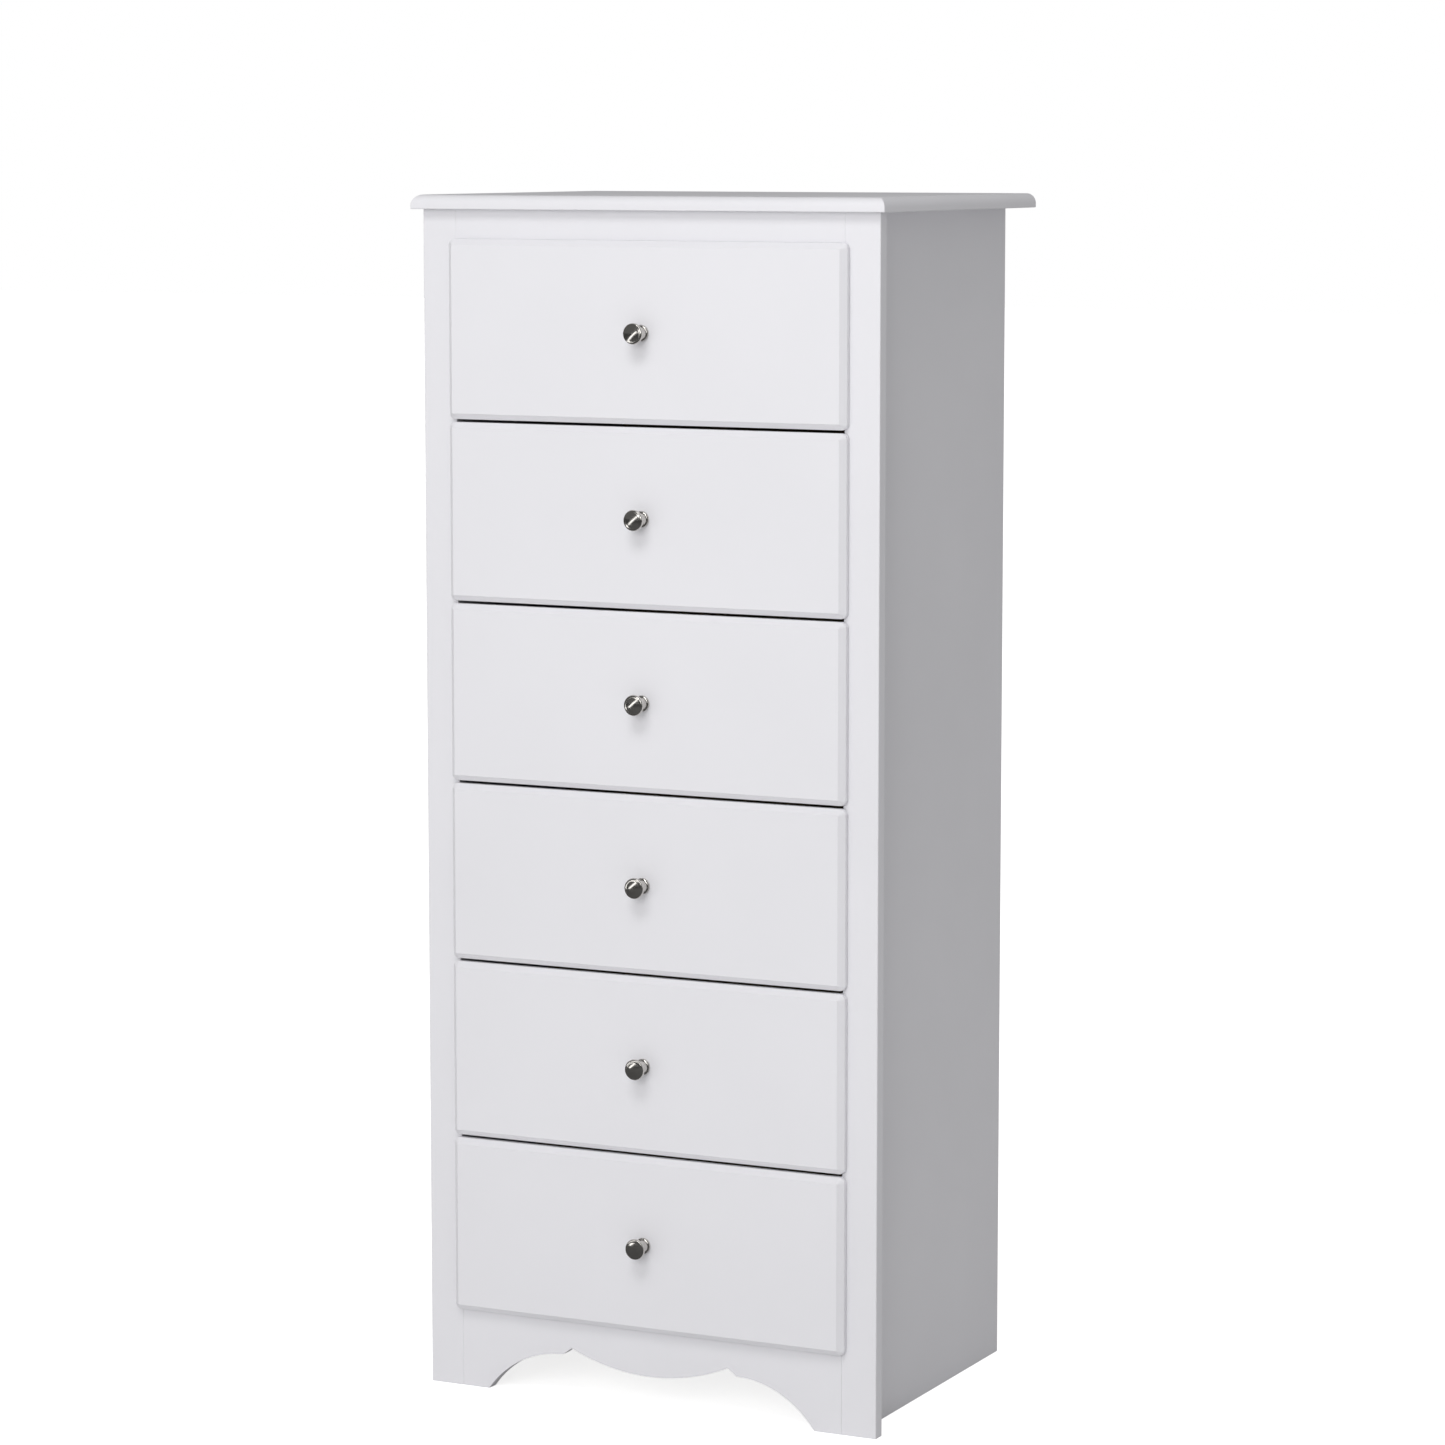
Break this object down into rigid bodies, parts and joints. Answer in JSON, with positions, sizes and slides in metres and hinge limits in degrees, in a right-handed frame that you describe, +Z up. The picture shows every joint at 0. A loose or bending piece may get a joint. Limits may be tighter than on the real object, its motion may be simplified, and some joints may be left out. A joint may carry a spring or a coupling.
{
  "type": "tall chest of drawers",
  "caption": "Tall narrow painted chest with lipped drawer fronts, round metal knobs, a moulded top and a scalloped apron between bracket feet",
  "frame": {"origin": "on the floor, under the middle of the object's whole box, knobs included", "axes": "+X to the right as seen from the front, +Y from the front to the back, +Z up"},
  "size_m": [0.542, 0.417, 1.27],
  "materials": {
    "white_paint": "satin white paint over smooth board",
    "bare_board": "white-faced board, bare edges",
    "softwood": "clear-sealed pine",
    "hardboard": "smooth hardboard",
    "rail_steel": "white epoxy-coated steel",
    "satin_nickel": "satin nickel plate",
    "zinc_steel": "bright zinc plate"
  },
  "bodies": {
    "case": {"top_panel": "white_paint", "side_panel_left": "white_paint", "side_panel_right": "white_paint", "stile_left": "white_paint", "stile_right": "white_paint", "top_rail": "white_paint", "apron": "white_paint", "base_panel": "bare_board", "rear_top_rail": "bare_board", "back_panel": "hardboard", "corner_blocks": "softwood", "case_rails": "rail_steel"},
    "drawer_1": {"drawer_1_front": "white_paint", "drawer_1_side_left": "softwood", "drawer_1_side_right": "softwood", "drawer_1_back": "softwood", "drawer_1_bottom": "hardboard", "drawer_1_rails": "rail_steel", "drawer_1_knob": "satin_nickel", "drawer_1_knob_screw": "zinc_steel"},
    "drawer_2": {"drawer_2_front": "white_paint", "drawer_2_side_left": "softwood", "drawer_2_side_right": "softwood", "drawer_2_back": "softwood", "drawer_2_bottom": "hardboard", "drawer_2_rails": "rail_steel", "drawer_2_knob": "satin_nickel", "drawer_2_knob_screw": "zinc_steel"},
    "drawer_3": {"drawer_3_front": "white_paint", "drawer_3_side_left": "softwood", "drawer_3_side_right": "softwood", "drawer_3_back": "softwood", "drawer_3_bottom": "hardboard", "drawer_3_rails": "rail_steel", "drawer_3_knob": "satin_nickel", "drawer_3_knob_screw": "zinc_steel"},
    "drawer_4": {"drawer_4_front": "white_paint", "drawer_4_side_left": "softwood", "drawer_4_side_right": "softwood", "drawer_4_back": "softwood", "drawer_4_bottom": "hardboard", "drawer_4_rails": "rail_steel", "drawer_4_knob": "satin_nickel", "drawer_4_knob_screw": "zinc_steel"},
    "drawer_5": {"drawer_5_front": "white_paint", "drawer_5_side_left": "softwood", "drawer_5_side_right": "softwood", "drawer_5_back": "softwood", "drawer_5_bottom": "hardboard", "drawer_5_rails": "rail_steel", "drawer_5_knob": "satin_nickel", "drawer_5_knob_screw": "zinc_steel"},
    "drawer_6": {"drawer_6_front": "white_paint", "drawer_6_side_left": "softwood", "drawer_6_side_right": "softwood", "drawer_6_back": "softwood", "drawer_6_bottom": "hardboard", "drawer_6_rails": "rail_steel", "drawer_6_knob": "satin_nickel", "drawer_6_knob_screw": "zinc_steel"}
  },
  "joints": [
    {"name": "drawer_1_slide", "type": "slide", "parent": "case", "child": "drawer_1", "axis": [0, -1, 0], "range_m": [0, 0.25]},
    {"name": "drawer_2_slide", "type": "slide", "parent": "case", "child": "drawer_2", "axis": [0, -1, 0], "range_m": [0, 0.25]},
    {"name": "drawer_3_slide", "type": "slide", "parent": "case", "child": "drawer_3", "axis": [0, -1, 0], "range_m": [0, 0.25]},
    {"name": "drawer_4_slide", "type": "slide", "parent": "case", "child": "drawer_4", "axis": [0, -1, 0], "range_m": [0, 0.25]},
    {"name": "drawer_5_slide", "type": "slide", "parent": "case", "child": "drawer_5", "axis": [0, -1, 0], "range_m": [0, 0.25]},
    {"name": "drawer_6_slide", "type": "slide", "parent": "case", "child": "drawer_6", "axis": [0, -1, 0], "range_m": [0, 0.25]}
  ]
}
